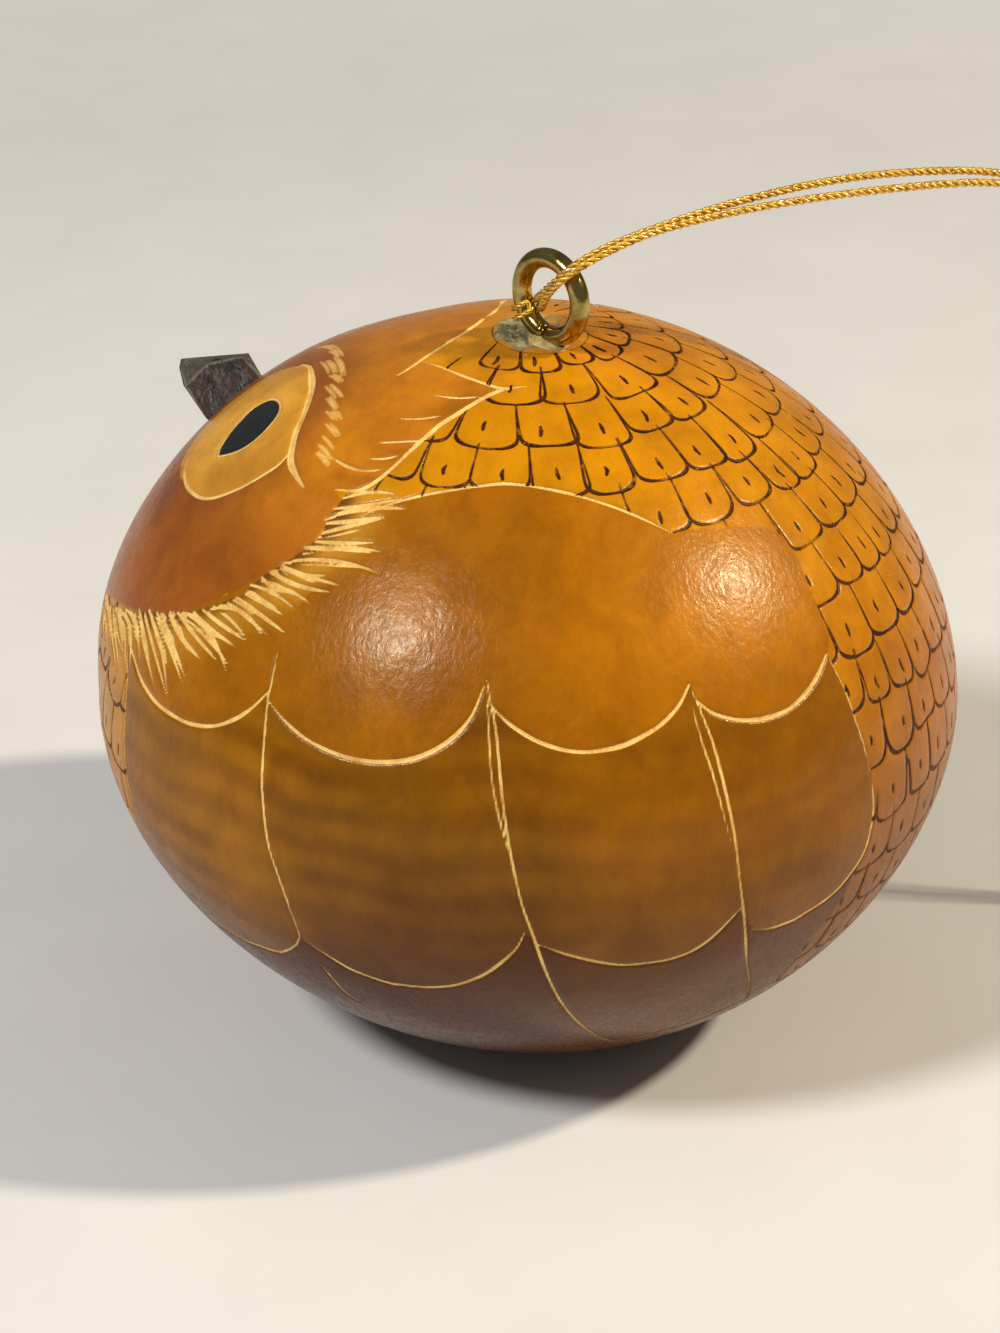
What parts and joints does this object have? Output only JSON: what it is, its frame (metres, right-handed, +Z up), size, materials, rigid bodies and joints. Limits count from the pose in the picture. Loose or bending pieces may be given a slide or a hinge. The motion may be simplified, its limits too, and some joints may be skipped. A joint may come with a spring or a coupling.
{
  "type": "carved gourd ornament",
  "caption": "Hollow dried gourd carved and burnt as an owl, flat underneath, with a glued beak, a brass screw eye in its stem and a knotted cord loop to hang it by.",
  "frame": {"origin": "middle of the bounding box of everything but the cord, at the height of the flat base, which is on the gourd's own axis", "axes": "+Z up through the crown, -Y the way the owl faces, +X the owl's own left"},
  "size_m": [0.0821, 0.0931, 0.073],
  "materials": {
    "gourd": "carved, burnt and stained gourd shell under satin varnish",
    "stem": "rough cut stalk, dull",
    "brass_eye": "plated wire, glossy",
    "putty": "hardened putty, matte",
    "beak": "dark stained wood, rough cut faces with worn edges",
    "glue": "hardened glue, glossy",
    "pulp": "dried fibrous pulp, matte",
    "seed": "dry seed coat, matte",
    "cord": "twisted thread with a metallic gold strand"
  },
  "bodies": {
    "root": {"gourd_shell": "gourd", "stem_stub": "stem", "screw_eye": "brass_eye", "eye_putty": "putty", "beak": "beak", "beak_glue": "glue", "dried_pulp": "pulp", "cord_hitch": "cord", "cord_lead_upper": "cord", "cord_lead_lower": "cord"},
    "hanging_loop": {"cord_near_upper": "cord", "cord_near_lower": "cord"},
    "loop_end": {"cord_far_upper": "cord", "cord_far_lower": "cord", "cord_knot": "cord"},
    "loose_seeds": {"seed_01": "seed", "seed_02": "seed", "seed_03": "seed", "seed_04": "seed", "seed_05": "seed", "seed_06": "seed", "seed_07": "seed", "seed_08": "seed", "seed_09": "seed", "seed_10": "seed", "seed_11": "seed", "seed_12": "seed"}
  },
  "joints": [
    {"name": "loop_lift", "type": "hinge", "parent": "root", "child": "hanging_loop", "pos_m": [0.00334, 0.00705, 0.0688], "axis": [0.7193, 0.6947, 0], "range_deg": [0, 90]},
    {"name": "loop_unfold", "type": "hinge", "parent": "hanging_loop", "child": "loop_end", "pos_m": [-0.02968, 0.03966, 0.06428], "axis": [0.7193, 0.6947, 0], "range_deg": [0, 90]},
    {"name": "seeds_rattle", "type": "slide", "parent": "root", "child": "loose_seeds", "axis": [0, 0, 1], "range_m": [0, 0.04]}
  ],
  "couplings": [
    {"joint": "loop_unfold", "follows": "loop_lift", "ratio": 1}
  ]
}
